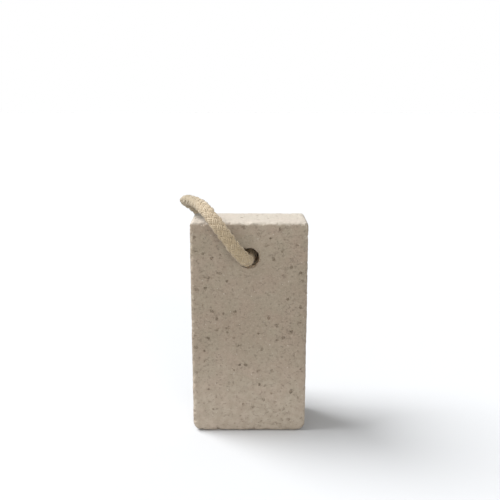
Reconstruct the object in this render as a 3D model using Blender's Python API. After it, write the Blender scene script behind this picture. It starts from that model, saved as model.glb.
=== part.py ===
# A pumice stone on a cord: a sawn bar of pumice with a drilled hole, and a knotted loop of
# braided cotton through it. The bar stands on its lower end with its front towards -Y.
# Metres, +Z up. The origin is at the middle of the bar's lower end.

import math
import random

import bmesh
import bpy
from mathutils import Matrix, Vector

MM = 0.001

# The bar of pumice
WIDTH = 50 * MM
DEPTH = 25 * MM
HEIGHT = 95 * MM
TOP_CORNER = 1.6 * MM        # radius of the upper corners, seen from the front
BOTTOM_CORNER = 3.8 * MM
CORNER_STEPS = 4
EDGE_ROUND = 1.2 * MM        # worn rounding of the front and back rims
EDGE_STEPS = 2

# The drilled hole
HOLE_RADIUS = 4.35 * MM
HOLE_DROP = 15.5 * MM        # from the upper end down to the hole's middle
HOLE_SIDES = 28
HOLE_HEIGHT = HEIGHT - HOLE_DROP

# Pits in the pumice
SEED = 11
PIT_ACROSS = (1.0 * MM, 1.9 * MM)
PIT_STRETCH = (0.75, 1.3)    # length over width
PIT_DEPTH = (0.45, 0.8)      # depth over width
PIT_ROUGHNESS = 0.16         # how far a pit's corners stray, as a share of its size
PIT_GAP = 0.5 * MM           # least wall between two pits
BACK_PITS = 58
SIDE_PITS = 78               # round the two sides and the two ends
RIM_CHIPS = 30               # along the front and back rims
HOLE_CHIPS = 5               # along each rim of the hole
HOLE_CHIP_ACROSS = 1.1 * MM
BASE_KEPT_FLAT = 5 * MM      # no pit this near to the middle of the lower end

# The pits that stand out on the front: x, height, width and length up the face, in millimetres
FRONT_PITS = (
    (-23.0, 88.5, 1.3, 1.3), (-23.0, 82.5, 1.8, 1.0), (-19.5, 81.5, 1.3, 1.2), (-16.0, 79.5, 1.1, 1.1),
    (-9.5, 69.5, 1.3, 1.1), (-17.5, 71.0, 3.4, 0.9), (-19.0, 66.5, 1.3, 1.1), (-22.5, 65.5, 1.5, 1.0),
    (-13.0, 73.0, 1.7, 0.9), (13.0, 92.0, 1.3, 1.8), (4.0, 90.0, 1.3, 1.3), (9.0, 88.0, 1.3, 1.1),
    (10.5, 79.0, 1.3, 1.6), (18.0, 75.5, 1.4, 1.3), (22.0, 73.0, 1.5, 1.4), (14.0, 82.5, 1.3, 1.1),
    (20.5, 85.0, 1.1, 0.9), (14.5, 72.0, 1.3, 1.1), (-16.0, 56.0, 1.4, 1.2), (-11.0, 55.0, 1.1, 1.3),
    (-14.0, 52.5, 1.5, 1.1), (-6.0, 56.0, 1.3, 1.1), (-14.0, 47.5, 1.7, 1.1), (-9.5, 48.5, 1.5, 0.9),
    (-6.5, 44.0, 1.7, 0.9), (-3.5, 40.5, 3.1, 0.9), (-17.5, 43.5, 1.0, 0.9), (-19.5, 38.0, 1.4, 1.2),
    (-20.0, 58.5, 0.9, 1.6), (8.5, 53.0, 1.3, 1.9), (22.0, 58.0, 1.1, 1.5), (22.0, 51.0, 1.9, 1.0),
    (16.5, 61.5, 1.5, 1.3), (18.5, 47.0, 1.5, 1.5), (15.0, 44.0, 1.2, 1.1), (5.5, 38.5, 1.2, 1.2),
    (4.0, 46.0, 1.5, 1.0), (12.0, 49.5, 0.9, 2.0), (-4.0, 31.5, 1.3, 1.1), (-6.5, 29.0, 1.1, 1.0),
    (-16.0, 10.5, 1.3, 1.1), (-2.5, 13.0, 1.1, 1.3), (4.0, 29.0, 2.0, 1.1), (10.0, 29.0, 1.0, 1.3),
    (18.5, 19.0, 1.2, 2.2), (6.5, 15.0, 1.0, 1.9), (15.5, 10.5, 1.3, 1.1), (17.5, 5.5, 1.6, 0.9),
    (7.5, 85.0, 2.7, 0.9), (23.0, 69.5, 1.3, 1.1), (-2.5, 93.0, 1.7, 1.3), (-9.5, 46.5, 1.1, 1.0),
    (-23.5, 39.5, 1.7, 1.5), (12.5, 43.0, 1.7, 0.9), (-1.5, 31.5, 1.1, 1.1), (-23.0, 28.0, 1.0, 0.9),
    (-14.5, 16.5, 0.9, 2.2), (10.0, 18.0, 1.1, 0.9), (21.5, 16.0, 1.0, 1.1), (2.0, 11.5, 1.8, 1.1),
    (22.5, 29.5, 1.1, 0.9), (4.5, 22.0, 1.3, 1.1),
)
FRONT_PIT_DEPTH = 0.42       # depth over the smaller of its two sizes

# The cord: its middle line from the knot up into the back of the hole, out at the front, up
# over the bar's upper end to the left, and down behind it to the knot again, in millimetres
CORD_RADIUS = 2.75 * MM
CORD_STEP = 3.0 * MM         # distance between the points of the tube
CORD_ROUTE = (
    (-1.0, 20.6, 41.0), (-0.4, 20.0, 47.0), (0.5, 19.5, 54.5), (1.2, 19.4, 61.0), (1.5, 19.5, 66.0),
    (1.5, 19.2, 70.4), (1.2, 18.1, 74.4), (0.8, 15.0, 77.5), (0.5, 10.8, 78.6), (0.3, 0.0, 78.4),
    (-0.4, -9.8, 78.3), (-1.2, -13.8, 79.0), (-2.9, -16.7, 81.1), (-5.2, -17.8, 84.1),
    (-8.0, -17.6, 87.7), (-11.1, -16.7, 91.9), (-14.2, -15.3, 95.8), (-17.1, -12.0, 98.9),
    (-20.0, -6.3, 100.8), (-23.1, 0.2, 101.6), (-26.2, 6.0, 101.6), (-28.2, 11.0, 101.0),
    (-28.4, 15.3, 99.9), (-27.0, 19.0, 98.3), (-24.5, 21.2, 95.8), (-22.0, 21.6, 92.5),
    (-20.0, 20.8, 88.2), (-17.9, 18.9, 81.0), (-15.3, 17.3, 71.5), (-12.5, 17.0, 61.5),
    (-9.9, 17.9, 51.8), (-8.0, 19.5, 46.0), (-7.2, 20.6, 41.0),
)

# The overhand knot: two cords side by side, wrapped round themselves, with their cut tails below
KNOT_PLACE = Vector((-4.1 * MM, 20.9 * MM, 31.4 * MM))
KNOT_HALF_WIDTH = 10.8 * MM  # along X
KNOT_HALF_DEPTH = 8.1 * MM   # along Y
KNOT_WRAPS = 3
KNOT_WRAP_PITCH = 5.2 * MM
KNOT_SIDES = 20
KNOT_TILT = math.radians(7)
WRAP_ARC = math.radians(60)  # how far round its section a wrap shows, each way
WRAP_STEPS = 4
TAIL_SIDES = 10
TAIL_END_RADIUS = 3.1 * MM   # the frayed ends are a little wider
TAILS = (                    # start inside the knot and cut end
    (Vector((-6.6 * MM, 20.4 * MM, 27.0 * MM)), Vector((-10.2 * MM, 18.2 * MM, 12.6 * MM))),
    (Vector((-1.6 * MM, 20.4 * MM, 27.0 * MM)), Vector((0.6 * MM, 18.6 * MM, 14.4 * MM))),
)

STONE_COLOUR = (0.34, 0.28, 0.215)
STONE_ROUGHNESS = 0.92
COTTON_COLOUR = (0.60, 0.52, 0.38)
COTTON_ROUGHNESS = 0.88

MERGE_DISTANCE = 0.01 * MM
ROUTE_STEPS_PER_SPAN = 24    # fineness of the smooth curve before it is spaced evenly


def clear_scene():
    for thing in list(bpy.data.objects):
        bpy.data.objects.remove(thing, do_unlink=True)


def make_material(name, colour, roughness):
    material = bpy.data.materials.new(name)
    material.use_nodes = True
    shader = material.node_tree.nodes["Principled BSDF"]
    shader.inputs["Base Color"].default_value = (*colour, 1)
    shader.inputs["Roughness"].default_value = roughness
    shader.inputs["Metallic"].default_value = 0
    return material


def add_object(name, data, material=None):
    thing = bpy.data.objects.new(name, data)
    bpy.context.scene.collection.objects.link(thing)
    if material:
        data.materials.append(material)
    return thing


def mesh_object(name, bm, material=None):
    bmesh.ops.recalc_face_normals(bm, faces=bm.faces)
    mesh = bpy.data.meshes.new(name)
    bm.to_mesh(mesh)
    bm.free()
    return add_object(name, mesh, material)


def hide_helper(thing):
    thing.hide_render = True
    thing.display_type = "WIRE"


def add_boolean(target, helper, operation):
    modifier = target.modifiers.new(helper.name, "BOOLEAN")
    modifier.operation = operation
    modifier.solver = "EXACT"
    modifier.object = helper
    hide_helper(helper)


def bar_outline():
    """Corner points of the bar's front outline and the outward direction at each."""
    corners = (
        (WIDTH / 2, HEIGHT, TOP_CORNER, 0),
        (-WIDTH / 2, HEIGHT, TOP_CORNER, 90),
        (-WIDTH / 2, 0, BOTTOM_CORNER, 180),
        (WIDTH / 2, 0, BOTTOM_CORNER, 270),
    )
    points = []
    for x, z, radius, start in corners:
        middle_x = x - math.copysign(radius, x)
        middle_z = z - radius if z > 0 else radius
        for step in range(CORNER_STEPS + 1):
            angle = math.radians(start + 90 * step / CORNER_STEPS)
            outward = Vector((math.cos(angle), 0, math.sin(angle)))
            points.append((Vector((middle_x, 0, middle_z)) + outward * radius, outward))
    return points


def make_bar(material):
    bm = bmesh.new()
    verts = [bm.verts.new(point + Vector((0, -DEPTH / 2, 0))) for point, outward in bar_outline()]
    front = bm.faces.new(verts)
    back = bmesh.ops.extrude_face_region(bm, geom=[front], use_keep_orig=True)["geom"]
    moved = [item for item in back if isinstance(item, bmesh.types.BMVert)]
    bmesh.ops.translate(bm, verts=moved, vec=(0, DEPTH, 0))
    rims = [edge for edge in bm.edges if abs(edge.verts[0].co.y - edge.verts[1].co.y) < DEPTH / 2]
    bmesh.ops.bevel(bm, geom=rims, offset=EDGE_ROUND, segments=EDGE_STEPS, profile=0.5,
                    affect="EDGES", material=-1)
    return mesh_object("stone", bm, material)


def make_drill():
    bm = bmesh.new()
    along_y = Matrix.Rotation(math.radians(90), 4, "X")
    place = Matrix.Translation((0, 0, HOLE_HEIGHT))
    bmesh.ops.create_cone(bm, cap_ends=True, segments=HOLE_SIDES, radius1=HOLE_RADIUS,
                          radius2=HOLE_RADIUS, depth=DEPTH * 2, matrix=place @ along_y)
    return mesh_object("drill", bm)


class PitCutters:
    """Rough little stones that cut the pits. No two of them touch."""

    def __init__(self):
        self.bm = bmesh.new()
        self.random = random.Random(SEED)
        self.taken = []

    def is_free(self, place, reach):
        hole_distance = math.hypot(place.x, place.z - HOLE_HEIGHT)
        beside_hole = hole_distance > HOLE_RADIUS + reach + PIT_GAP or abs(place.y) < DEPTH / 2 - reach
        above_base = place.length > BASE_KEPT_FLAT + reach
        apart = all((place - other).length > reach + size + PIT_GAP for other, size in self.taken)
        return beside_hole and above_base and apart

    def add(self, place, outward, across, along, depth):
        reach = max(across, along, depth * 2) / 2
        self.taken.append((place, reach))
        frame = outward.to_track_quat("Z", "Y").to_matrix().to_4x4()
        size = Matrix.Diagonal((across / 2, along / 2, depth, 1))
        matrix = Matrix.Translation(place) @ frame @ size
        made = bmesh.ops.create_icosphere(self.bm, subdivisions=1, radius=1, matrix=matrix)
        for vert in made["verts"]:
            stray = 1 + self.random.uniform(-PIT_ROUGHNESS, PIT_ROUGHNESS)
            vert.co = place + (vert.co - place) * stray

    def scatter(self, count, pick):
        """Add pits at places that pick() returns, each with its outward direction."""
        added = 0
        while added < count:
            place, outward = pick()
            across = self.random.uniform(*PIT_ACROSS)
            along = across * self.random.uniform(*PIT_STRETCH)
            depth = across * self.random.uniform(*PIT_DEPTH)
            if self.is_free(place, max(across, along, depth * 2) / 2):
                self.add(place, outward, across, along, depth)
                added += 1

    def pick_on_back(self):
        margin = EDGE_ROUND + PIT_ACROSS[1]
        x = self.random.uniform(-WIDTH / 2 + margin, WIDTH / 2 - margin)
        z = self.random.uniform(margin, HEIGHT - margin)
        return Vector((x, DEPTH / 2, z)), Vector((0, 1, 0))

    def pick_on_outline(self):
        """A point anywhere round the bar's outline, at mid depth, with its outward direction."""
        outline = bar_outline()
        lengths = [(outline[i][0] - outline[i - 1][0]).length for i in range(len(outline))]
        index = self.random.choices(range(len(outline)), weights=lengths)[0]
        share = self.random.random()
        before, after = outline[index - 1], outline[index]
        return before[0].lerp(after[0], share), before[1].lerp(after[1], share).normalized()

    def pick_on_side(self):
        place, outward = self.pick_on_outline()
        reach = DEPTH / 2 - EDGE_ROUND - PIT_ACROSS[1] / 2
        place.y = self.random.uniform(-reach, reach)
        return place, outward

    def pick_on_rim(self):
        place, outward = self.pick_on_outline()
        side = self.random.choice((-1, 1))
        worn = EDGE_ROUND * (1 - math.sqrt(0.5))
        place -= outward * worn
        place.y = side * (DEPTH / 2 - worn)
        return place, (outward + Vector((0, side, 0))).normalized()

    def add_hole_chips(self):
        for side in (-1, 1):
            for step in range(HOLE_CHIPS):
                angle = math.tau * (step + self.random.uniform(0.1, 0.9)) / HOLE_CHIPS
                place = Vector((HOLE_RADIUS * math.cos(angle), side * DEPTH / 2,
                                HOLE_HEIGHT + HOLE_RADIUS * math.sin(angle)))
                self.add(place, Vector((0, side, 0)), HOLE_CHIP_ACROSS, HOLE_CHIP_ACROSS,
                         HOLE_CHIP_ACROSS / 2)


def make_pit_cutters():
    cutters = PitCutters()
    cutters.add_hole_chips()
    for x, z, across, along in FRONT_PITS:
        place = Vector((x * MM, -DEPTH / 2, z * MM))
        depth = min(across, along) * FRONT_PIT_DEPTH
        cutters.add(place, Vector((0, -1, 0)), across * MM, along * MM, depth * MM)
    cutters.scatter(BACK_PITS, cutters.pick_on_back)
    cutters.scatter(SIDE_PITS, cutters.pick_on_side)
    cutters.scatter(RIM_CHIPS, cutters.pick_on_rim)
    return mesh_object("pit_cutters", cutters.bm)


def smooth_route(points, step):
    """Points a step apart on a smooth curve through the given ones (centripetal Catmull-Rom)."""
    before = points[0] * 2 - points[1]
    after = points[-1] * 2 - points[-2]
    guides = [before, *points, after]
    fine = []
    for i in range(1, len(guides) - 2):
        p0, p1, p2, p3 = guides[i - 1:i + 3]
        t1 = (p1 - p0).length ** 0.5
        t2 = t1 + (p2 - p1).length ** 0.5
        t3 = t2 + (p3 - p2).length ** 0.5
        for k in range(ROUTE_STEPS_PER_SPAN):
            t = t1 + (t2 - t1) * k / ROUTE_STEPS_PER_SPAN
            a1 = p0.lerp(p1, t / t1)
            a2 = p1.lerp(p2, (t - t1) / (t2 - t1))
            a3 = p2.lerp(p3, (t - t2) / (t3 - t2))
            b1 = a1.lerp(a2, t / t2)
            b2 = a2.lerp(a3, (t - t1) / (t3 - t1))
            fine.append(b1.lerp(b2, (t - t1) / (t2 - t1)))
    fine.append(points[-1])

    total = sum((b - a).length for a, b in zip(fine, fine[1:]))
    count = round(total / step)
    spaced = [fine[0]]
    walked = 0
    for a, b in zip(fine, fine[1:]):
        span = (b - a).length
        while len(spaced) < count and walked + span >= total * len(spaced) / count:
            share = (total * len(spaced) / count - walked) / span
            spaced.append(a.lerp(b, share))
        walked += span
    spaced.append(fine[-1])
    return spaced


def make_cord(material):
    points = smooth_route([Vector(point) * MM for point in CORD_ROUTE], CORD_STEP)
    curve = bpy.data.curves.new("cord", "CURVE")
    curve.dimensions = "3D"
    curve.resolution_u = 1
    curve.bevel_depth = CORD_RADIUS
    curve.bevel_resolution = 2
    curve.use_fill_caps = True
    spline = curve.splines.new("POLY")
    spline.points.add(len(points) - 1)
    for slot, point in zip(spline.points, points):
        slot.co = (*point, 1)
    return add_object("cord", curve, material)


def knot_profile():
    """Distance from the knot's axis and height, from its top to its bottom, at half width."""
    top = KNOT_WRAPS * KNOT_WRAP_PITCH / 2
    profile = [(0, top)]
    for wrap in range(KNOT_WRAPS):
        middle = top - KNOT_WRAP_PITCH * (wrap + 0.5)
        for step in range(WRAP_STEPS + 1):
            angle = WRAP_ARC * (1 - 2 * step / WRAP_STEPS)
            distance = KNOT_HALF_WIDTH - CORD_RADIUS * (1 - math.cos(angle))
            profile.append((distance, middle + CORD_RADIUS * math.sin(angle)))
    profile.append((0, -top))
    return profile


def make_knot(material):
    bm = bmesh.new()
    verts = [bm.verts.new((distance, 0, height)) for distance, height in knot_profile()]
    edges = [bm.edges.new(pair) for pair in zip(verts, verts[1:])]
    bmesh.ops.spin(bm, geom=verts + edges, cent=(0, 0, 0), axis=(0, 0, 1), angle=math.tau,
                   steps=KNOT_SIDES, use_merge=True)
    bmesh.ops.remove_doubles(bm, verts=bm.verts, dist=MERGE_DISTANCE)
    flatten = Matrix.Diagonal((1, KNOT_HALF_DEPTH / KNOT_HALF_WIDTH, 1, 1))
    tilt = Matrix.Rotation(KNOT_TILT, 4, "Y")
    bmesh.ops.transform(bm, matrix=Matrix.Translation(KNOT_PLACE) @ tilt @ flatten, verts=bm.verts)
    for face in bm.faces:
        face.smooth = True
    knot = mesh_object("knot", bm, material)
    add_boolean(knot, make_tails(), "UNION")
    return knot


def make_tails():
    bm = bmesh.new()
    for start, end in TAILS:
        direction = end - start
        turn = direction.to_track_quat("Z", "Y").to_matrix().to_4x4()
        place = Matrix.Translation((start + end) / 2)
        bmesh.ops.create_cone(bm, cap_ends=True, segments=TAIL_SIDES, radius1=CORD_RADIUS,
                              radius2=TAIL_END_RADIUS, depth=direction.length, matrix=place @ turn)
    return mesh_object("tails", bm)


def main():
    clear_scene()
    pumice = make_material("stone", STONE_COLOUR, STONE_ROUGHNESS)
    cotton = make_material("cord", COTTON_COLOUR, COTTON_ROUGHNESS)
    stone = make_bar(pumice)
    add_boolean(stone, make_drill(), "DIFFERENCE")
    add_boolean(stone, make_pit_cutters(), "DIFFERENCE")
    make_cord(cotton)
    make_knot(cotton)


main()
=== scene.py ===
import math
import random

import bmesh
import bpy
import numpy as np
from mathutils import Matrix, Vector, kdtree, noise


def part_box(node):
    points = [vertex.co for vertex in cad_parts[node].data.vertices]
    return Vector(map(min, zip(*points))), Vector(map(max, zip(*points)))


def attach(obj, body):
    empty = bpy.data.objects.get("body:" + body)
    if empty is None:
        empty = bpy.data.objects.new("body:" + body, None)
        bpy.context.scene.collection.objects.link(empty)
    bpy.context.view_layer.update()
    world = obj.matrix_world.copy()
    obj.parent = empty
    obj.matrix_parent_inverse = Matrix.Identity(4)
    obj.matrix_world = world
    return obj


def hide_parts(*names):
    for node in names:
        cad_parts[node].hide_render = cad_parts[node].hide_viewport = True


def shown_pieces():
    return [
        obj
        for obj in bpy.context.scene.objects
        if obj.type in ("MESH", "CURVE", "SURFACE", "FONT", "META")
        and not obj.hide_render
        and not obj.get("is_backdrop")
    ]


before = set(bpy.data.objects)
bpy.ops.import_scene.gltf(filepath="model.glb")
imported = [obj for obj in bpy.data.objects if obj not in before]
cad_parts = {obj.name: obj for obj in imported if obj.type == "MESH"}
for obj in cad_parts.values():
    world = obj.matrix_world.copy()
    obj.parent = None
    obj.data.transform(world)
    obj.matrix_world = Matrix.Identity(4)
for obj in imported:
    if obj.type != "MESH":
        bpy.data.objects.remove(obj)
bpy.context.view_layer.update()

mm = 0.001
scene = bpy.context.scene


# Shader writing

class Wire:  # one output socket, so that shader maths reads as plain maths
    def __init__(self, paint, socket):
        self.paint = paint
        self.socket = socket

    def maths(self, operation, first, second):
        return self.paint.node("ShaderNodeMath", {"operation": operation}, {0: first, 1: second})

    def __add__(self, other):
        return self.maths("ADD", self, other)

    def __radd__(self, other):
        return self.maths("ADD", other, self)

    def __sub__(self, other):
        return self.maths("SUBTRACT", self, other)

    def __rsub__(self, other):
        return self.maths("SUBTRACT", other, self)

    def __mul__(self, other):
        return self.maths("MULTIPLY", self, other)

    def __rmul__(self, other):
        return self.maths("MULTIPLY", other, self)

    def __lt__(self, other):
        return self.maths("LESS_THAN", self, other)


class Paint:  # a new material and its nodes, or those of a tree that is there
    def __init__(self, name, tree=None):
        self.tree = tree
        if tree is None:
            self.material = bpy.data.materials.new(name)
            self.material.use_nodes = True
            self.tree = self.material.node_tree
            self.surface = self.tree.nodes["Principled BSDF"]

    def node(self, kind, settings=None, inputs=None, output=0):
        made = self.tree.nodes.new(kind)
        for name, value in (settings or {}).items():
            setattr(made, name, value)
        for name, value in (inputs or {}).items():
            self.feed(made.inputs[name], value)
        return Wire(self, made.outputs[output])

    def feed(self, socket, value):
        if isinstance(value, Wire):
            self.tree.links.new(value.socket, socket)
        else:
            socket.default_value = value

    def place(self):
        return self.node("ShaderNodeTexCoord", output="Object")

    def axis(self, place, letter):
        return self.node("ShaderNodeSeparateXYZ", {}, {"Vector": place}, output=letter)

    def stored(self, name):
        return self.node("ShaderNodeAttribute", {"attribute_name": name}, output="Fac")

    def cloudy(self, place, scale, detail=3, roughness=0.55):
        return self.node("ShaderNodeTexNoise", {}, {
            "Vector": place, "Scale": scale, "Detail": detail, "Roughness": roughness})

    def between(self, value, low, high, newLow=0.0, newHigh=1.0):
        return self.node("ShaderNodeMapRange", {"interpolation_type": "SMOOTHSTEP"}, {
            "Value": value, "From Min": low, "From Max": high, "To Min": newLow, "To Max": newHigh})

    def blend(self, share, first, second, way="MIX"):
        sides = [side if isinstance(side, Wire) else (*side, 1) for side in (first, second)]
        return self.node("ShaderNodeMix", {"data_type": "RGBA", "blend_type": way}, {
            0: share, 6: sides[0], 7: sides[1]}, output=2)

    def bump(self, height, distance, strength=1.0):
        return self.node("ShaderNodeBump", {}, {
            "Height": height, "Distance": distance, "Strength": strength})


# Helpers for meshes

def linkObject(name, data):
    thing = bpy.data.objects.new(name, data)
    scene.collection.objects.link(thing)
    return thing


def asMesh(thing, name):  # the evaluated shape as a mesh of its own
    graph = bpy.context.evaluated_depsgraph_get()
    mesh = bpy.data.meshes.new_from_object(thing.evaluated_get(graph), depsgraph=graph)
    mesh.name = name
    data = thing.data
    bpy.data.objects.remove(thing)
    if data.users == 0 and isinstance(data, bpy.types.Curve):
        bpy.data.curves.remove(data)
    return mesh


def cornersOf(mesh):
    places = np.empty(len(mesh.vertices) * 3)
    mesh.vertices.foreach_get("co", places)
    return places.reshape(-1, 3)


def normalsOf(mesh):
    normals = np.empty(len(mesh.vertices) * 3)
    mesh.vertices.foreach_get("normal", normals)
    return normals.reshape(-1, 3)


def storeValues(mesh, name, values):
    layer = mesh.attributes.new(name, "FLOAT", "POINT")
    layer.data.foreach_set("value", np.asarray(values, np.float32))


def shadeSmooth(mesh):
    mesh.polygons.foreach_set("use_smooth", [True] * len(mesh.polygons))


# The camera, at the photograph's angle

camera = {
    "place": (0.4 * mm, -274.8 * mm, 140.8 * mm),
    "downward": 12.4,        # degrees below level
    "lens": 45.9,
    "sensor": 36.0,
}


def makeCamera():
    data = bpy.data.cameras.new("camera")
    data.lens = camera["lens"]
    data.sensor_width = camera["sensor"]
    data.clip_start = 10 * mm
    thing = linkObject("camera", data)
    thing.location = camera["place"]
    thing.rotation_euler = (math.radians(90 - camera["downward"]), 0, 0)
    scene.camera = thing


# Light and floor

studio = {
    "low": (1.0, 1.0, 1.0),       # the surroundings near the horizon
    "high": (0.52, 0.53, 0.54),   # and overhead
    "fade": (0.15, 0.45),         # between these heights on a sphere of radius 1
    "overhead": {"from": (-0.75, 0.2, 1.0), "strength": 5.2, "spread": 40, "colour": (0.98, 1.0, 1.03)},
    "front": {"from": (0.32, -1.0, 0.42), "strength": 0.45, "spread": 16, "colour": (1.0, 0.97, 0.92)},
    "fill": {"from": (0.03, -1.0, 0.24), "strength": 0.5, "spread": 6, "colour": (1.0, 0.95, 0.88)},
    "floor": (0.51, 0.51, 0.51),
    "floorSize": 60.0,
}


def makeLamp(name, lamp):
    data = bpy.data.lights.new(name, "SUN")
    data.energy = lamp["strength"]
    data.angle = math.radians(lamp["spread"])
    data.color = lamp["colour"]
    thing = linkObject(name, data)
    thing.rotation_euler = Vector(lamp["from"]).to_track_quat("Z", "Y").to_euler()


def makeStudio():
    scene.view_settings.view_transform = "Standard"
    world = bpy.data.worlds.new("studio")
    world.use_nodes = True
    sky = Paint("sky", world.node_tree)
    direction = sky.node("ShaderNodeTexCoord", output="Generated")
    height = sky.axis(direction, "Z")
    colour = sky.blend(sky.between(height, *studio["fade"]), studio["low"], studio["high"])
    sky.feed(world.node_tree.nodes["Background"].inputs["Color"], colour)
    scene.world = world
    for name in ("overhead", "front", "fill"):
        makeLamp(name, studio[name])

    bm = bmesh.new()
    bmesh.ops.create_grid(bm, x_segments=1, y_segments=1, size=studio["floorSize"] / 2)
    mesh = bpy.data.meshes.new("floor")
    bm.to_mesh(mesh)
    bm.free()
    paint = Paint("floor")
    paint.feed(paint.surface.inputs["Base Color"], (*studio["floor"], 1))
    paint.feed(paint.surface.inputs["Roughness"], 0.9)
    mesh.materials.append(paint.material)
    floor = linkObject("floor", mesh)
    floor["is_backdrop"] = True


# The bar of pumice

pumice = {
    "voxel": 0.55 * mm,
    "refine": ((0.75 * mm, 1.0), (0.6 * mm, -11.5 * mm)),   # near pits: how near, and up to what y
    "seed": 5,
    "wrapReach": 1.2 * mm,        # how far the pits are looked for
    "waves": ((9 * mm, 0.10 * mm), (2.6 * mm, 0.07 * mm), (1.1 * mm, 0.06 * mm)),
    "wear": 0.95 * mm,
    "wearWidth": 2.4 * mm,        # there is wear only where the depths below two faces add up to less
    "wearLumps": ((3.1 * mm, 1.1), (1.2 * mm, 0.7)),   # size, and share of the wear
    "pores": 1100,
    "frontShare": 0.45,           # the share of the chance pores that the front keeps
    "poreRadius": (0.34 * mm, 0.62 * mm),
    "poreStretch": (1.0, 1.7),
    "poreDepth": (0.5, 0.95),     # times the radius
    # finer pits that stand out on the front: x, height, width and length up the face, in mm
    "frontPits": (
        (-12.1, 81.0, 0.8, 0.8), (-19.3, 33.3, 1.1, 1.1), (-17.8, 20.1, 1.1, 0.9), (7.0, 21.5, 1.1, 0.9),
        (13.8, 10.0, 1.1, 1.1), (11.5, 13.9, 1.3, 0.9),
    ),
    "holeRadius": 4.35 * mm,
    "holeHeight": 79.5 * mm,
    "boreTo": 12.1 * mm,          # the painted light on the drilled wall ends this far from the bar's middle
    # how much painted shade lies deep in the pits
    "pitPaintedShade": 0.05,
    "deeper": 0.55,               # the front's pits are deeper than in the construction by this share
}


def cleanCopyOfStone():
    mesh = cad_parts["stone"].data.copy()
    bm = bmesh.new()
    bm.from_mesh(mesh)
    bmesh.ops.remove_doubles(bm, verts=bm.verts, dist=0.001 * mm)
    bm.to_mesh(mesh)
    bm.free()
    return mesh


def pitCentres(mesh):
    # the deep corners of the pits in the construction, and the middles of the finer pits
    places = cornersOf(mesh)
    centres = list(places[pitDepths(places) > 0.3])
    for x, z, _width, _length in pumice["frontPits"]:
        centres.append((x * mm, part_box("stone")[0][1], z * mm))
    tree = kdtree.KDTree(len(centres))
    for index, centre in enumerate(centres):
        tree.insert(centre, index)
    tree.balance()
    return tree


def fineStoneMesh():
    sharp = linkObject("sharpStone", cleanCopyOfStone())
    rough = linkObject("roughStone", sharp.data.copy())
    remesh = rough.modifiers.new("remesh", "REMESH")
    remesh.mode = "VOXEL"
    remesh.voxel_size = pumice["voxel"]
    mesh = asMesh(rough, "pumiceBar")

    tree = pitCentres(sharp.data)
    bm = bmesh.new()
    bm.from_mesh(mesh)
    for reach, furthestBack in pumice["refine"]:
        edges = set()
        for face in bm.faces:
            middle = face.calc_center_median()
            if middle.y < furthestBack and tree.find(middle)[2] < reach:
                edges.update(face.edges)
        bmesh.ops.subdivide_edges(bm, edges=list(edges), cuts=1, use_grid_fill=True)
    bm.to_mesh(mesh)
    bm.free()

    refined = linkObject("refinedStone", mesh)
    wrap = refined.modifiers.new("wrap", "SHRINKWRAP")  # brings back the pits that the voxels filled
    wrap.target = sharp
    wrap.wrap_method = "PROJECT"
    wrap.use_negative_direction = True
    wrap.project_limit = pumice["wrapReach"]
    mesh = asMesh(refined, "pumiceBar")
    bpy.data.objects.remove(sharp)
    return mesh


def pumiceWaves(places):
    rise = np.zeros(len(places))
    for layer, (length, height) in enumerate(pumice["waves"]):
        shift = Vector((layer * 7.1, 3.3, layer * 1.7))
        rise += [noise.noise(Vector(place) / length + shift) * height for place in places]
    return rise


def wearEdges(places):
    # the twelve edges crumble unevenly, inwards only
    low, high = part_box("stone")
    worn = np.zeros(len(places))
    outside = -0.1 * mm
    (broad, broadShare), (narrow, narrowShare) = pumice["wearLumps"]
    depths = {}
    for axis in range(3):
        depths[axis, 1] = places[:, axis] - low[axis]
        depths[axis, -1] = high[axis] - places[:, axis]
    for (first, firstWay), u in depths.items():
        for (second, secondWay), w in depths.items():
            near = (first < second) & (u + w < pumice["wearWidth"]) & (u > outside) & (w > outside)
            for index in np.flatnonzero(near):
                place = Vector(places[index])
                cut = pumice["wear"] * (1 + broadShare * noise.noise(place / broad)
                                        + narrowShare * noise.noise(place / narrow))
                short = cut - u[index] - w[index]
                worn[index] = max(worn[index], min(1, short / (0.25 * mm) + 0.5))
                if short > 0:
                    places[index, first] += short / 2 * firstWay
                    places[index, second] += short / 2 * secondWay
    return worn


def pressPores(places, normals):
    # how deep each corner lies in a pore, from rough oval hollows scattered over the bar
    chance = random.Random(pumice["seed"])
    tree = kdtree.KDTree(len(places))
    for index, place in enumerate(places):
        tree.insert(place, index)
    tree.balance()
    sunk = np.zeros(len(places))

    def press(middle, side, across, sideRadius, acrossRadius, depth):
        for place, index, _distance in tree.find_range(middle, max(sideRadius, acrossRadius) * 1.3):
            offset = place - middle
            wobble = 1 + 0.35 * noise.noise(place / (0.7 * mm))
            share = math.hypot(offset.dot(side) / sideRadius, offset.dot(across) / acrossRadius) * wobble
            if share < 1:
                sunk[index] = max(sunk[index], depth * (1 - share * share) ** 0.8)

    for x, z, width, length in pumice["frontPits"]:
        middle = Vector((x * mm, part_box("stone")[0][1], z * mm))
        depth = min(width, length) * 0.55 * mm
        press(middle, Vector((1, 0, 0)), Vector((0, 0, 1)), width * 0.55 * mm, length * 0.55 * mm, depth)
    for _ in range(pumice["pores"]):
        index = chance.randrange(len(places))
        normal = Vector(normals[index])
        radius = chance.uniform(*pumice["poreRadius"])
        stretch = chance.uniform(*pumice["poreStretch"])
        depth = radius * chance.uniform(*pumice["poreDepth"])
        side = normal.orthogonal().normalized()
        side.rotate(Matrix.Rotation(chance.uniform(0, math.tau), 3, normal))
        if normal.y > -0.9 or chance.random() < pumice["frontShare"]:
            press(Vector(places[index]), side, normal.cross(side), radius * stretch, radius, depth)
    return sunk


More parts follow.
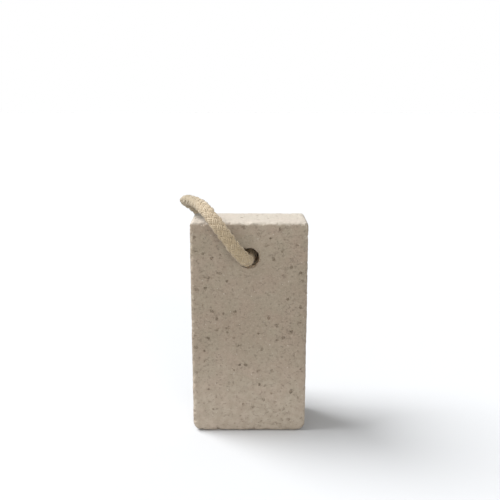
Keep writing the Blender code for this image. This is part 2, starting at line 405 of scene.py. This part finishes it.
def makePumiceBar():
    mesh = fineStoneMesh()
    places = cornersOf(mesh)
    normals = normalsOf(mesh)
    pits = pitDepths(places)
    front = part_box("stone")[0][1]
    inFront = (pits > 0) & (places[:, 1] < front + 2 * mm)
    places[inFront, 1] += (places[inFront, 1] - front) * pumice["deeper"]

    # the drilled wall is round between the facets of its twenty-eight sides
    fromAxis = np.hypot(places[:, 0], places[:, 2] - pumice["holeHeight"])
    onWall = (abs(fromAxis - pumice["holeRadius"]) < 0.25 * mm) & (abs(places[:, 1]) < 12 * mm)
    scale = pumice["holeRadius"] / fromAxis[onWall]
    places[onWall, 0] *= scale
    places[onWall, 2] = pumice["holeHeight"] + (places[onWall, 2] - pumice["holeHeight"]) * scale

    worn = wearEdges(places)
    sunk = pressPores(places, normals)
    rise = pumiceWaves(places) - 0.05 * mm
    places += normals * (rise - sunk)[:, None]
    places[:, 2] = np.maximum(places[:, 2], 0)
    mesh.vertices.foreach_set("co", places.ravel())
    mesh.update()
    storeValues(mesh, "hollow", np.maximum(pits, sunk / (0.85 * mm)))
    # where the drilled hole gets its painted light
    fromAxis = np.hypot(places[:, 0], places[:, 2] - pumice["holeHeight"])
    inside = fromAxis < pumice["holeRadius"] + 0.5 * mm
    storeValues(mesh, "paintedBoreLight", np.clip((pumice["boreTo"] - abs(places[:, 1])) / mm, 0, 1) * inside)
    storeValues(mesh, "worn", worn)
    shadeSmooth(mesh)
    mesh.materials.clear()
    mesh.materials.append(paintPumice())
    bar = linkObject("pumiceBar", mesh)
    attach(bar, "root")
    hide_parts("stone")
    return bar


def pitDepths(places):
    # depth below the sawn faces, from 0 on a face to 1 well inside a pit
    low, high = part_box("stone")
    low, high = np.array(low), np.array(high)
    shallowest = np.sort(np.minimum(places - low, high - places), axis=1)
    fromAxis = np.hypot(places[:, 0], places[:, 2] - pumice["holeHeight"])
    inHole = fromAxis < pumice["holeRadius"] + 0.3 * mm
    depth = np.clip((shallowest[:, 0] - 0.06 * mm) / (0.4 * mm), 0, 1)
    depth[inHole | (shallowest[:, 1] < 2 * mm)] = 0
    return depth


def flecks(paint, place, scale, size, share):
    # scattered spots: share of the cells have one, about size of a cell across
    cells = {"Vector": place, "Scale": scale}
    distance = paint.node("ShaderNodeTexVoronoi", {}, cells, output="Distance")
    colour = paint.node("ShaderNodeTexVoronoi", {}, cells, output="Color")
    lot = paint.node("ShaderNodeSeparateColor", {}, {"Color": colour})
    return paint.between(distance, size, size * 0.45) * (lot < share)


def turnedPlace(paint, place, degrees, scale):
    return paint.node("ShaderNodeMapping", {}, {
        "Vector": place, "Rotation": (0, math.radians(degrees), 0), "Scale": scale})


def paintPumice():
    paint = Paint("pumice")
    place = paint.place()
    height = paint.axis(place, "Z")
    hollow = paint.stored("hollow")
    paintedBoreLight = paint.stored("paintedBoreLight")
    worn = paint.stored("worn") * paint.between(paint.cloudy(place, 700, 2), 0.38, 0.6)
    # painted highlight: the top face made paler, standing for the overhead lamp's light
    paintedTopLight = paint.between(height, 0.0935, 0.0946) * 0.45
    patches = paint.cloudy(place, 55, 2)
    tint = paint.cloudy(place, 90, 2)
    mottles = paint.cloudy(place, 330, 3)
    strokes = paint.cloudy(turnedPlace(paint, place, 14, (0.72, 0.9, 1.15)), 880, 2, 0.6)
    grain = paint.cloudy(place, 1500, 2)
    slanted = paint.cloudy(turnedPlace(paint, place, -38, (0.7, 0.9, 1.3)), 1050, 2, 0.6)
    fromMiddle = paint.node("ShaderNodeMath", {"operation": "ABSOLUTE"}, {
        0: paint.axis(place, "X") + 1 * mm})
    crowded = paint.between(fromMiddle, 0.006, 0.019) * paint.between(height, 0.015, 0.045) * 0.035
    crowded = crowded + paint.between(paint.cloudy(place, 110, 1), 0.42, 0.62) * 0.03
    # small stroke-like hollows; the dark colour painted into them below is painted shade
    shadedStrokes = paint.between(strokes + crowded, 0.648, 0.695)
    shadedStrokes = shadedStrokes + paint.between(slanted + crowded, 0.668, 0.715) * 0.7
    stray = paint.node("ShaderNodeTexNoise", {}, {
        "Vector": place, "Scale": 2200.0, "Detail": 1.0}, output="Color")
    torn = paint.node("ShaderNodeMix", {"data_type": "VECTOR"}, {0: 0.0006, 4: place, 5: stray}, output=1)
    pores = flecks(paint, torn, 560.0, 0.30, 0.34)
    finePores = flecks(paint, torn, 1150.0, 0.36, 0.30)
    grits = flecks(paint, torn, 760.0, 0.24, 0.09)

    colour = paint.blend(paint.between(patches, 0.35, 0.65), (0.288, 0.237, 0.181), (0.315, 0.263, 0.204))
    colour = paint.blend(1.0, colour, paint.blend(
        paint.between(tint, 0.38, 0.62), (1.025, 0.985, 0.985), (0.98, 1.008, 0.99)), "MULTIPLY")
    waist = paint.between(height, 0.092, 0.07) * paint.between(height, 0.02, 0.042)
    colour = paint.blend(waist * 0.3, colour, (0.235, 0.191, 0.145))
    # painted light: the face made lighter towards the bottom, standing for light bounced up from the floor
    colour = paint.blend(paint.between(height, 0.05, 0.0) * 0.6, colour, (0.45, 0.386, 0.318))
    colour = paint.blend(paint.between(mottles, 0.35, 0.62) * 0.4, colour, (0.262, 0.214, 0.163))
    # painted shade in the stroke-like hollows
    colour = paint.blend(shadedStrokes * 0.33, colour, (0.15, 0.118, 0.086))
    colour = paint.blend(paint.between(strokes, 0.42, 0.34) * 0.17, colour, (0.42, 0.362, 0.294))
    colour = paint.blend(paint.between(grain, 0.45, 0.68) * 0.17, colour, (0.43, 0.374, 0.305))
    # the painted highlight on the top face
    colour = paint.blend(paintedTopLight, colour, (0.56, 0.52, 0.46))
    # paler worn edges: real wear, made paler towards the top as a painted highlight
    colour = paint.blend(worn * paint.between(height, 0.08, 0.094, 0.12, 0.35), colour, (0.56, 0.51, 0.44))
    colour = paint.blend(grits * 0.42, colour, (0.62, 0.57, 0.50))
    # painted shade in the finer pores and the pores
    colour = paint.blend(finePores * 0.2, colour, (0.19, 0.15, 0.11))
    colour = paint.blend(pores * 0.26, colour, (0.17, 0.13, 0.095))
    # painted shade deep in the pits
    deepInPit = paint.between(hollow, 0.45, 0.95)
    colour = paint.blend(deepInPit * pumice["pitPaintedShade"], colour, (0.10, 0.075, 0.052))
    # painted light inside the drilled hole: its wall made far paler than the pumice
    colour = paint.blend(paintedBoreLight * 0.9, colour, (0.88, 0.73, 0.56))
    paint.feed(paint.surface.inputs["Base Color"], colour)
    paint.feed(paint.surface.inputs["Roughness"], 0.86 + grain * 0.12)
    paint.feed(paint.surface.inputs["Specular IOR Level"], 0.25)
    relief = grain * 0.4 + mottles * 0.4 - pores * 1.3 - finePores * 0.6 - shadedStrokes * 1.3
    paint.feed(paint.surface.inputs["Normal"], paint.bump(relief, 0.18 * mm, 0.66))
    return paint.material


# The braided cord

cord = {
    "diameter": 5.5 * mm,
    "lay": 12.4 * mm,            # one turn of a yarn along the cord
    "yarnPairs": 4,              # yarns that turn each way
    "plies": (-1, 0, 1),         # side by side in each yarn
    "plyRadius": 0.37 * mm,
    "plyGap": 0.62 * mm,
    "wave": 0.34 * mm,           # how far a yarn rises over and dips under the others
    "step": 0.36 * mm,           # between a ply's points, along the cord
    "wide": 1.10,                # a soft braid lies flat where nothing rounds it
    "thin": 0.84,
    "intoKnot": 3 * mm,          # how far the ends run on inside the knot
    # the middle line, as in the construction: knot, back of the hole, front, over the top, knot
    "route": (
        (-1.0, 20.6, 41.0), (-0.4, 20.0, 47.0), (0.5, 19.5, 54.5), (1.2, 19.4, 61.0), (1.5, 19.5, 66.0),
        (1.5, 19.2, 70.4), (1.2, 18.1, 74.4), (0.8, 15.0, 77.5), (0.5, 10.8, 78.6), (0.3, 0.0, 78.4),
        (-0.4, -9.8, 78.3), (-1.2, -13.8, 79.0), (-2.9, -16.7, 81.1), (-5.2, -17.8, 84.1),
        (-8.0, -17.6, 87.7), (-11.1, -16.7, 91.9), (-14.2, -15.3, 95.8), (-17.1, -12.0, 98.9),
        (-20.0, -6.3, 100.8), (-23.1, 0.2, 101.6), (-26.2, 6.0, 101.6), (-28.2, 11.0, 101.0),
        (-28.4, 15.3, 99.9), (-27.0, 19.0, 98.3), (-24.5, 21.2, 95.8), (-22.0, 21.6, 92.5),
        (-20.0, 20.8, 88.2), (-17.9, 18.9, 81.0), (-15.3, 17.3, 71.5), (-12.5, 17.0, 61.5),
        (-9.9, 17.9, 51.8), (-8.0, 19.5, 46.0), (-7.2, 20.6, 41.0),
    ),
    "fuzz": 900,
    "fuzzLength": (0.5 * mm, 1.4 * mm),
    "fuzzRadius": 0.018 * mm,
    "flatFrom": 60 * mm,         # near the knot it is round, and from this height up no more
    "roundUpTo": 14.5 * mm,      # in the hole it is round, and this far from the bar's middle
    "roundBelow": 84 * mm,       # no more, nor from this height up
}


def smoothRoute(points, step):  # evenly spaced points on a centripetal Catmull-Rom curve
    guides = [points[0] * 2 - points[1], *points, points[-1] * 2 - points[-2]]
    fine = []
    for i in range(1, len(guides) - 2):
        p0, p1, p2, p3 = guides[i - 1:i + 3]
        t1 = (p1 - p0).length ** 0.5
        t2 = t1 + (p2 - p1).length ** 0.5
        t3 = t2 + (p3 - p2).length ** 0.5
        for k in range(24):
            t = t1 + (t2 - t1) * k / 24
            a1 = p0.lerp(p1, t / t1)
            a2 = p1.lerp(p2, (t - t1) / (t2 - t1))
            a3 = p2.lerp(p3, (t - t2) / (t3 - t2))
            b1 = a1.lerp(a2, t / t2)
            b2 = a2.lerp(a3, (t - t1) / (t3 - t1))
            fine.append(b1.lerp(b2, (t - t1) / (t2 - t1)))
    fine.append(points[-1])
    return evenly(fine, step)


def evenly(fine, step):
    places = np.array(fine)
    walked = np.concatenate(([0], np.cumsum(np.linalg.norm(np.diff(places, axis=0), axis=1))))
    count = max(2, round(walked[-1] / step) + 1)
    stations = np.linspace(0, walked[-1], count)
    return np.stack([np.interp(stations, walked, places[:, axis]) for axis in range(3)], axis=1)


def framesAlong(line):  # a pair of directions across the line at each point, carried without twist
    tangents = np.gradient(line, axis=0)
    tangents /= np.linalg.norm(tangents, axis=1)[:, None]
    side = Vector(tangents[0]).orthogonal().normalized()
    sides = []
    for tangent in tangents:
        direction = Vector(tangent)
        side = (side - direction * side.dot(direction)).normalized()
        sides.append(side[:])
    sides = np.array(sides)
    return tangents, sides, np.cross(tangents, sides)


def evenSection(line):
    return np.ones(len(line)), None


def flatSection(line):
    # how flat the cord lies, from 0 where it is round to 1, and the way that its flat side faces
    facing = np.stack([line[:, 0] * 0, line[:, 1], np.maximum(line[:, 2] - 92 * mm, 0) * 1.5], axis=1)
    facing /= np.linalg.norm(facing, axis=1)[:, None] + 1e-9
    inHole = np.clip((cord["roundUpTo"] - abs(line[:, 1])) / (4 * mm), 0, 1)
    inHole = inHole * (line[:, 2] < cord["roundBelow"])
    atKnot = np.clip((cord["flatFrom"] - line[:, 2]) / (14 * mm), 0, 1)
    return 1 - np.maximum(inHole, atKnot), facing


def braid(name, lines, section=evenSection, ends=None, seed=1):
    # yarns wound both ways round each line, over and under one another, round a plain core
    data = bpy.data.curves.new(name, "CURVE")
    data.dimensions = "3D"
    data.bevel_depth = cord["plyRadius"]
    data.bevel_resolution = 1
    data.use_fill_caps = True
    core = bpy.data.curves.new(name + "Core", "CURVE")
    core.dimensions = "3D"
    middle = cord["diameter"] / 2 - cord["plyRadius"] - cord["wave"]
    core.bevel_depth = middle
    core.bevel_resolution = 4
    core.use_fill_caps = True
    slope = math.atan(math.tau * middle / cord["lay"])
    plyTurn = cord["plyGap"] / math.cos(slope) / middle / math.tau
    chance = random.Random(seed)
    for number, line in enumerate(lines):
        tangents, sides, ups = framesAlong(line)
        walked = np.arange(len(line)) * np.linalg.norm(line[1] - line[0])
        flat, facing = section(line)
        uneven = [noise.noise(Vector((step / (4.5 * mm), number * 9.7, seed))) for step in walked]
        swell = 1 + 0.07 * np.array(uneven)
        if ends:
            swell *= ends[number]
        for turn in (1, -1):
            for yarn in range(cord["yarnPairs"]):
                drift = 0.012 * np.sin(walked / (5.3 * mm) + chance.uniform(0, math.tau))
                slack = 0.1 * mm * np.sin(walked / (3.7 * mm) + chance.uniform(0, math.tau))
                for ply in cord["plies"]:
                    shift = ply * plyTurn
                    turns = yarn / cord["yarnPairs"] + turn * walked / cord["lay"] + shift + drift
                    angle = math.tau * turns
                    along = walked / cord["lay"] + turn * shift / 2
                    wave = turn * np.cos(math.tau * cord["yarnPairs"] * along)
                    radius = middle + cord["wave"] * wave + slack - 0.05 * mm * abs(ply)
                    offset = sides * np.cos(angle)[:, None] + ups * np.sin(angle)[:, None]
                    offset *= (radius * swell)[:, None]
                    if facing is not None:
                        offset = pressed(offset, tangents, facing, flat)
                    loose = 1 + 0.08 * np.sin(walked / (2.3 * mm) + chance.uniform(0, math.tau))
                    addSpline(data, line + offset, loose * swell ** 0.5)
        addSpline(core, line[::5], np.ones(len(line[::5])) * 0.96)
    return data, core


def pressed(offset, tangents, facing, flat):
    thinWay = facing - tangents * (facing * tangents).sum(axis=1)[:, None]
    thinWay /= np.linalg.norm(thinWay, axis=1)[:, None] + 1e-9
    wideWay = np.cross(tangents, thinWay)
    thinPart = (offset * thinWay).sum(axis=1) * (cord["thin"] - 1) * flat
    widePart = (offset * wideWay).sum(axis=1) * (cord["wide"] - 1) * flat
    return offset + thinWay * thinPart[:, None] + wideWay * widePart[:, None]


def addSpline(data, places, radii):
    spline = data.splines.new("POLY")
    spline.points.add(len(places) - 1)
    spline.points.foreach_set("co", np.hstack([places, np.ones((len(places), 1))]).ravel())
    spline.points.foreach_set("radius", np.asarray(radii, float))


def addFuzz(name, lines, count, seed):
    # short loose fibres that stand off the cord
    data = bpy.data.curves.new(name, "CURVE")
    data.dimensions = "3D"
    data.bevel_depth = cord["fuzzRadius"]
    data.bevel_resolution = 0
    chance = random.Random(seed)
    framed = [(line, *framesAlong(line)) for line in lines]
    for _ in range(count):
        line, tangents, sides, ups = chance.choice(framed)
        index = chance.randrange(len(line))
        angle = chance.uniform(0, math.tau)
        out = Vector(sides[index] * math.cos(angle) + ups[index] * math.sin(angle))
        along = Vector(tangents[index]) * chance.choice((-1, 1))
        around = out.cross(along) * chance.uniform(-1, 1)
        place = Vector(line[index]) + out * cord["diameter"] * 0.46
        heading = (out * chance.uniform(0.25, 0.8) + along + around).normalized()
        length = chance.uniform(*cord["fuzzLength"])
        places = []
        for _step in range(4):
            places.append(place[:])
            heading = (heading + out * chance.uniform(-0.35, 0.25)).normalized()
            place = place + heading * length / 3
        addSpline(data, np.array(places), (1.0, 1.0, 0.8, 0.5))
    return data


def joinMeshes(name, meshes):
    bm = bmesh.new()
    for mesh in meshes:
        bm.from_mesh(mesh)
    joined = bpy.data.meshes.new(name)
    bm.to_mesh(joined)
    bm.free()
    return joined


def storeHeights(mesh, lines):
    # crest: 0 deep between the yarns and 1 on top of them; along: the way walked along the cord
    middles = np.vstack(lines)
    tangents = np.vstack([framesAlong(line)[0] for line in lines])
    walked = np.concatenate([np.arange(len(line)) * cord["step"] for line in lines])
    tree = kdtree.KDTree(len(middles))
    for index, place in enumerate(middles):
        tree.insert(place, index)
    tree.balance()
    places = cornersOf(mesh)
    nearest = np.array([tree.find(place)[1] for place in places])
    offset = places - middles[nearest]
    distance = np.linalg.norm(offset, axis=1)
    reach = cord["diameter"] / 2
    storeValues(mesh, "crest", np.clip((distance - reach * 0.62) / (reach * 0.38), 0, 1))
    storeValues(mesh, "along", walked[nearest] + (offset * tangents[nearest]).sum(axis=1))


def curvesToMesh(name, curves):
    return joinMeshes(name, [asMesh(linkObject("helper", data), "helper") for data in curves])


def makeCord(paint):
    points = [Vector(point) * mm for point in cord["route"]]
    points[0] += (points[0] - points[1]).normalized() * cord["intoKnot"]
    points[-1] += (points[-1] - points[-2]).normalized() * cord["intoKnot"]
    line = smoothRoute(points, cord["step"])
    yarns, core = braid("braidedCord", [line], flatSection)
    mesh = curvesToMesh("braidedCord", [yarns, core, addFuzz("cordFuzz", [line], cord["fuzz"], 3)])
    storeHeights(mesh, [line])
    shadeSmooth(mesh)
    mesh.materials.clear()
    mesh.materials.append(paint)
    piece = linkObject("braidedCord", mesh)
    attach(piece, "root")
    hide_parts("cord")
    return piece, line


# The knot that closes the loop, and its two cut tails

knot = {
    "place": Vector((-4.1, 20.9, 31.4)) * mm,
    "halfWidth": 8.05 * mm,      # of the wraps' middle line
    "halfDepth": 5.35 * mm,
    "turns": 1.12,
    "pitch": 10.4 * mm,
    "tilt": 4.0,
    "tails": (
        ((-1.6, 20.6, 38.5), (-1.5, 20.6, 33.0), (-1.6, 20.4, 27.0), (-0.6, 19.9, 21.0),
         (0.6, 18.6, 14.4)),
        ((-6.7, 20.6, 38.5), (-6.7, 20.6, 33.0), (-6.6, 20.4, 27.0), (-8.2, 19.6, 20.0),
         (-10.2, 18.2, 12.6)),
    ),
    "frayLength": 3.2 * mm,
    "fray": 130,
    "frayRadius": 0.05 * mm,
    "fuzz": 420,
    "openOver": 4 * mm,          # the cut ends open out over this length
    "openBy": 0.28,
}


def wrapLine(start):  # one of the two cords wound round the others, its ends tucked in
    fine = []
    for step in range(121):
        share = step / 120
        angle = math.tau * (knot["turns"] * share) + start
        tucked = min(1.0, share / 0.16, (1 - share) / 0.16)
        tucked = 0.45 + 0.55 * math.sin(tucked * math.pi / 2)
        lift = (share - 0.5) * knot["turns"] * knot["pitch"]
        fine.append(Vector((
            math.cos(angle) * knot["halfWidth"] * tucked,
            math.sin(angle) * knot["halfDepth"] * tucked,
            lift)))
    tilt = Matrix.Rotation(math.radians(knot["tilt"]), 3, "Y")
    return evenly([tilt @ place + knot["place"] for place in fine], cord["step"])


def makeKnot(paint):
    wraps = [wrapLine(start) for start in (math.radians(200), math.radians(20))]
    tails = [smoothRoute([Vector(p) * mm for p in tail], cord["step"]) for tail in knot["tails"]]

    ends = [np.ones(len(line)) for line in wraps]
    for line in tails:  # the cut ends open out a little
        toEnd = np.arange(len(line))[::-1] * cord["step"]
        ends.append(1 + knot["openBy"] * np.clip(1 - toEnd / knot["openOver"], 0, 1) ** 2)
    yarns, core = braid("cordKnot", wraps + tails, ends=ends, seed=7)
    curves = [yarns, core, addFuzz("knotFuzz", wraps + tails, knot["fuzz"], 9), addFray(tails)]
    mesh = curvesToMesh("cordKnot", curves)
    storeHeights(mesh, wraps + tails)
    shadeSmooth(mesh)
    mesh.materials.clear()
    mesh.materials.append(paint)
    piece = linkObject("cordKnot", mesh)
    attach(piece, "root")
    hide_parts("knot")
    return piece


def addFray(tails):
    # the tufts of fibres at the two cut ends
    data = bpy.data.curves.new("fray", "CURVE")
    data.dimensions = "3D"
    data.bevel_depth = knot["frayRadius"]
    data.bevel_resolution = 0
    chance = random.Random(21)
    for line in tails:
        tangents, sides, ups = framesAlong(line)
        forward = Vector(tangents[-1])
        for _ in range(knot["fray"]):
            angle = chance.uniform(0, math.tau)
            share = math.sqrt(chance.random())
            out = Vector(sides[-1] * math.cos(angle) + ups[-1] * math.sin(angle))
            place = Vector(line[-1]) - forward * mm + out * share * cord["diameter"] * 0.58
            heading = (forward + out * share * chance.uniform(0.1, 0.6)).normalized()
            length = chance.uniform(0.5, 1.0) * knot["frayLength"]
            places = []
            for _step in range(5):
                places.append(place[:])
                stray = Vector((chance.uniform(-1, 1), chance.uniform(-1, 1), chance.uniform(-1, 1)))
                heading = (heading + stray * 0.16).normalized()
                place = place + heading * length / 4
            addSpline(data, np.array(places), (1.2, 1.0, 0.9, 0.7, 0.4))
    return data


def paintCotton():
    paint = Paint("cotton")
    place = paint.place()
    crest = paint.stored("crest")
    patches = paint.cloudy(place, 140, 2)
    fibres = paint.cloudy(place, 2600, 3, 0.65)
    onPly = paint.node("ShaderNodeUVMap", {"uv_map": "UVMap"})
    turned = paint.axis(onPly, "X")
    twist = paint.stored("along") * (1 / (1.9 * mm)) + turned * 2
    twist = paint.node("ShaderNodeMath", {"operation": "PINGPONG"}, {0: twist, 1: 0.5}) * 2
    across = paint.axis(place, "X")
    height = paint.axis(place, "Z")
    colour = paint.blend(paint.between(patches, 0.35, 0.65), (0.318, 0.246, 0.156), (0.355, 0.281, 0.184))
    colour = paint.blend(paint.between(fibres, 0.4, 0.7) * 0.35, colour, (0.49, 0.405, 0.28))
    # painted highlight: the cord made paler above the bar's top, where the overhead lamp falls
    colour = paint.blend(paint.between(height, 0.090, 0.098) * 0.42, colour, (0.60, 0.50, 0.37))
    # painted shade over the cord's left end, near the bar's top corner
    leftEndShade = paint.between(across, -0.0165, -0.0285) * paint.between(height, 0.080, 0.096)
    colour = paint.blend(leftEndShade * 0.5, colour, (0.225, 0.193, 0.135))
    # painted shade deep between the yarns
    colour = paint.blend(paint.between(crest, 0.5, 0.0) * 0.3, colour, (0.25, 0.192, 0.122))
    paint.feed(paint.surface.inputs["Base Color"], colour)
    paint.feed(paint.surface.inputs["Roughness"], 0.88)
    paint.feed(paint.surface.inputs["Specular IOR Level"], 0.2)
    paint.feed(paint.surface.inputs["Sheen Weight"], 0.25)
    paint.feed(paint.surface.inputs["Sheen Roughness"], 0.5)
    paint.feed(paint.surface.inputs["Normal"], paint.bump(fibres * 0.5 + twist * 0.5, 0.12 * mm, 0.7))
    return paint.material


makeCamera()
makeStudio()
print("camera and studio ready")
makePumiceBar()
print("pumice bar ready")
cotton = paintCotton()
knotPiece = makeKnot(cotton)
cordPiece, cordLine = makeCord(cotton)
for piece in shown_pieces():
    print(piece.name, sum(len(face.vertices) - 2 for face in piece.data.polygons), "triangles")
